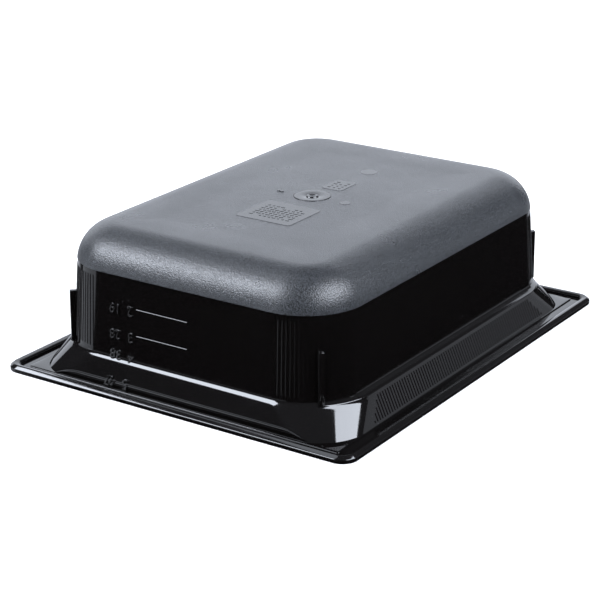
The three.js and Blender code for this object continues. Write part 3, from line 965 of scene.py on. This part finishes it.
def panel_tree():
    """A thin raised panel with rounded corners, and lines of small raised dashes on it, each line
    with dashes of random length."""
    tree, given = node_tree("Panel with raised dashes", {
        "Centre": "NodeSocketVector",
        "Width": "NodeSocketFloat",
        "Length": "NodeSocketFloat",
        "Corner": "NodeSocketFloat",
        "Rise": "NodeSocketFloat",
        "Root": "NodeSocketFloat",
        "Lines": "NodeSocketInt",
        "Dashes": "NodeSocketInt",
        "Dash field": "NodeSocketVector",
        "Dash width": "NodeSocketFloat",
        "Seed": "NodeSocketInt",
        "Finish": "NodeSocketMaterial",
    })
    given = given.outputs
    border = node(tree, "GeometryNodeCurvePrimitiveQuadrilateral", {
        "Width": given["Width"], "Height": given["Length"]})
    border = node(tree, "GeometryNodeFilletCurve", {
        "Curve": border.outputs[0], "Radius": given["Corner"], "Count": 8}, mode="POLY")
    face = node(tree, "GeometryNodeFillCurve", {"Curve": border.outputs[0]}, mode="NGONS")
    depth = node(tree, "ShaderNodeMath", {0: given["Rise"], 1: given["Root"]})
    raised = node(tree, "GeometryNodeExtrudeMesh", {
        "Mesh": face.outputs[0], "Offset Scale": depth.outputs[0], "Individual": False})
    under = node(tree, "GeometryNodeFlipFaces", {"Mesh": face.outputs[0]})
    block = node(tree, "GeometryNodeJoinGeometry")
    tree.links.new(raised.outputs["Mesh"], block.inputs[0])
    tree.links.new(under.outputs[0], block.inputs[0])
    block = node(tree, "GeometryNodeMergeByDistance", {
        "Geometry": block.outputs[0], "Distance": 0.001 * MM})
    block = node(tree, "GeometryNodeTransform", {
        "Geometry": block.outputs[0],
        "Translation": node(tree, "ShaderNodeCombineXYZ", {
            "Z": node(tree, "ShaderNodeMath", {
                0: given["Root"], 1: -1.0}, operation="MULTIPLY").outputs[0]}).outputs[0]})

    field = node(tree, "ShaderNodeSeparateXYZ", {"Vector": given["Dash field"]})
    dash_spots = node(tree, "GeometryNodeMeshGrid", {
        "Size X": field.outputs["X"], "Size Y": field.outputs["Y"],
        "Vertices X": given["Dashes"], "Vertices Y": given["Lines"]})
    gap = node(tree, "ShaderNodeMath", {
        0: field.outputs["X"], 1: given["Dashes"]}, operation="DIVIDE")
    share = node(tree, "FunctionNodeRandomValue", {
        2: 0.3, 3: 0.95, "Seed": given["Seed"]}, data_type="FLOAT")
    length = node(tree, "ShaderNodeMath", {
        0: gap.outputs[0], 1: share.outputs[1]}, operation="MULTIPLY")
    kept = node(tree, "FunctionNodeRandomValue", {
        "Probability": 0.86, "Seed": given["Seed"]}, data_type="BOOLEAN")
    dash = node(tree, "GeometryNodeMeshCube", {"Size": (1, 1, 1)})
    dashes = node(tree, "GeometryNodeInstanceOnPoints", {
        "Points": dash_spots.outputs["Mesh"],
        "Selection": kept.outputs[3],
        "Instance": dash.outputs["Mesh"],
        "Scale": node(tree, "ShaderNodeCombineXYZ", {
            "X": length.outputs[0], "Y": given["Dash width"], "Z": 0.4 * MM}).outputs[0]})
    lifted = node(tree, "GeometryNodeTransform", {
        "Geometry": dashes.outputs[0],
        "Translation": node(tree, "ShaderNodeCombineXYZ", {"Z": given["Rise"]}).outputs[0]})
    joined = node(tree, "GeometryNodeJoinGeometry")
    tree.links.new(block.outputs[0], joined.inputs[0])
    tree.links.new(lifted.outputs[0], joined.inputs[0])
    put = node(tree, "GeometryNodeTransform", {
        "Geometry": joined.outputs[0], "Translation": given["Centre"]})
    whole = node(tree, "GeometryNodeRealizeInstances", {"Geometry": put.outputs[0]})
    finished = node(tree, "GeometryNodeSetMaterial", {
        "Geometry": whole.outputs[0], "Material": given["Finish"]})
    node(tree, "NodeGroupOutput", {"Geometry": finished.outputs[0]})
    return tree


PANEL = {"Corner": 2.5 * MM, "Rise": 0.15 * MM, "Root": 0.8 * MM, "Finish": inset}
panels = panel_tree()
part_of_pan(grow("large_panel", panels, {
    **PANEL,
    "Centre": (2 * MM, -42.4 * MM, FLOOR_Z),
    "Width": 42 * MM,
    "Length": 37.6 * MM,
    "Lines": 7,
    "Dashes": 9,
    "Dash field": (28 * MM, 21 * MM, 0),
    "Dash width": 1.1 * MM,
    "Seed": 4,
}))
part_of_pan(grow("small_panel", panels, {
    **PANEL,
    "Centre": (2.4 * MM, 28.6 * MM, FLOOR_Z),
    "Width": 16 * MM,
    "Length": 21 * MM,
    "Lines": 4,
    "Dashes": 3,
    "Dash field": (8 * MM, 12 * MM, 0),
    "Dash width": 1.0 * MM,
    "Seed": 9,
}))


# in millimetres: the place, radius and rise of each pin mark
PINS = ((2.9, 65.7, 6.0, 0.08), (26.6, -1.6, 3.85, 0.12))
PIN_ROOT = 0.6  # how deep a mark is rooted in the bottom
PIN_BREAK = 0.15
# in millimetres: the place, width and length of each half of the raised tick
TICKS = ((-24.6, -3.2, 1.6, 1.5), (-22.2, -3.2, 2.1, 1.9))
TICK_HEIGHT = 0.8  # half of it is below the surface


def pin_marks():
    """Round witness marks of the mould's ejector pins, and a small raised tick."""
    bm = bmesh.new()
    for x, y, radius, rise in PINS:
        made = bmesh.ops.create_cone(
            bm, cap_ends=True, segments=48, radius1=radius * MM,
            radius2=(radius - PIN_BREAK) * MM, depth=(rise + PIN_ROOT) * MM)
        move = Vector((x * MM, y * MM, FLOOR_Z + (rise - PIN_ROOT) / 2 * MM))
        bmesh.ops.translate(bm, vec=move, verts=made["verts"])
    for x, y, width, length in TICKS:
        made = bmesh.ops.create_cube(bm, size=1.0)
        size = Matrix.Diagonal((width * MM, length * MM, TICK_HEIGHT * MM, 1))
        spot = Matrix.Translation((x * MM, y * MM, FLOOR_Z))
        bmesh.ops.transform(bm, matrix=spot @ size, verts=made["verts"])
    return keep_bmesh("pin_marks", bm, inset)


part_of_pan(pin_marks())


# ---------------------------------------------------------------- camera

def looking(azimuth, elevation, roll=0.0):
    """The rotation of a camera or lamp that looks at the pan from this side and height."""
    back = Vector((
        math.sin(azimuth) * math.cos(elevation),
        -math.cos(azimuth) * math.cos(elevation),
        math.sin(elevation),
    ))
    right = Vector((math.cos(azimuth), math.sin(azimuth), 0))
    up = back.cross(right)
    side = right * math.cos(roll) + up * math.sin(roll)
    top = -right * math.sin(roll) + up * math.cos(roll)
    return Matrix((side, top, back)).transposed()


VIEW_AZIMUTH = math.radians(33.67)
VIEW_ELEVATION = math.radians(20.66)
VIEW_ROLL = math.radians(-0.10)
# in millimetres: right, up and back from the pan's origin
CAMERA_SPOT = Vector((-2.35, 22.67, 1273.7))

turn = looking(VIEW_AZIMUTH, VIEW_ELEVATION, VIEW_ROLL)
camera_data = bpy.data.cameras.new("camera")
camera_data.sensor_width = 36
camera_data.lens = 113.05
camera_data.shift_x = -0.0150
camera_data.shift_y = 0.0005
camera = bpy.data.objects.new("camera", camera_data)
bpy.context.scene.collection.objects.link(camera)
camera.matrix_world = Matrix.Translation(turn @ CAMERA_SPOT * MM) @ turn.to_4x4()
bpy.context.scene.camera = camera


# ---------------------------------------------------------------- studio

def floor():
    """A plain white table. Its reflection is kept out of the gloss, as with black cards laid
    round the pan on a shoot."""
    half = 4.0
    corner_spots = [(-half, -half, 0), (half, -half, 0), (half, half, 0), (-half, half, 0)]
    made = mesh_object("floor", corner_spots, (), [(0, 1, 2, 3)])
    tree, shader, material = new_material("White table")
    shader.inputs["Base Color"].default_value = linear("#f4f4f4")
    shader.inputs["Roughness"].default_value = 0.9
    made.data.materials.append(material)
    made.visible_glossy = False
    return made


floor()


def soft_box(name, azimuth, elevation, width, height, brightness, colour, distance=1.6):
    """A lamp with a soft face, aimed at the pan. Brightness is what its face shows."""
    data = bpy.data.lights.new(name, "AREA")
    data.shape = "RECTANGLE"
    data.size = width
    data.size_y = height
    data.energy = brightness * math.pi * width * height
    data.color = linear(colour)[:3]
    made = bpy.data.objects.new(name, data)
    bpy.context.scene.collection.objects.link(made)
    face = looking(math.radians(azimuth), math.radians(elevation))
    made.matrix_world = (
        Matrix.Translation(face @ Vector((0, 0, distance)) + Vector((0, 0, 0.05)))
        @ face.to_4x4())
    made.visible_camera = False
    return made


COOL = "#eef4ff"
soft_box("left box", -43, 35, 1.0, 0.58, 15, COOL)
soft_box("right box", 91.5, 41, 1.48, 0.66, 12, COOL)
soft_box("backdrop", -140, 17, 2.8, 1.2, 1.58, COOL)
soft_box("top card", -62, 62, 1.0, 0.5, 2.2, COOL)
soft_box("side card", 143, 3, 1.1, 0.6, 0.5, COOL)
soft_box("left card", -66, -13, 1.1, 1.1, 0.8, COOL)
soft_box("low strip", -30, 0, 1.6, 0.3, 1.3, COOL)

world = bpy.data.worlds.new("studio")
world.use_nodes = True
bpy.context.scene.world = world
sky = world.node_tree
sky.nodes.clear()
ray = node(sky, "ShaderNodeLightPath")
aim = node(sky, "ShaderNodeTexCoord").outputs["Generated"]
where = node(sky, "ShaderNodeSeparateXYZ", {"Vector": aim})
# the gloss sees a room that is dark near the table and a little paler higher up, and the
# white of the table itself only far behind the pan
room = node(sky, "ShaderNodeMapRange", {
    "Value": where.outputs["Z"], "From Min": 0.0, "From Max": 0.6,
    "To Min": 0.008, "To Max": 0.16})
TABLE_SIDE = (-0.559, 0.829, 0.0)  # the level direction in which the white table shows
behind = node(sky, "ShaderNodeVectorMath", {0: aim, 1: TABLE_SIDE}, operation="DOT_PRODUCT")
behind = node(sky, "ShaderNodeMapRange", {
    "Value": behind.outputs["Value"], "From Min": 0.62, "From Max": 0.82,
    "To Min": 0.0, "To Max": 0.8})
below = node(sky, "ShaderNodeMapRange", {
    "Value": where.outputs["Z"], "From Min": -0.08, "From Max": -0.2})
table_light = node(sky, "ShaderNodeMath", {
    0: behind.outputs["Result"], 1: below.outputs["Result"]}, operation="MULTIPLY")
both = node(sky, "ShaderNodeMath", {
    0: room.outputs["Result"], 1: table_light.outputs[0]})
gloss = node(sky, "ShaderNodeBackground", {
    "Color": linear("#eef3ff"), "Strength": both.outputs[0]})
plain = node(sky, "ShaderNodeBackground", {"Color": linear("#ffffff"), "Strength": 1.0})
mixed = node(sky, "ShaderNodeMixShader", {
    "Fac": ray.outputs["Is Glossy Ray"], 1: plain.outputs[0], 2: gloss.outputs[0]})
node(sky, "ShaderNodeOutputWorld", {"Surface": mixed.outputs[0]})

bpy.context.scene.view_settings.view_transform = "Standard"
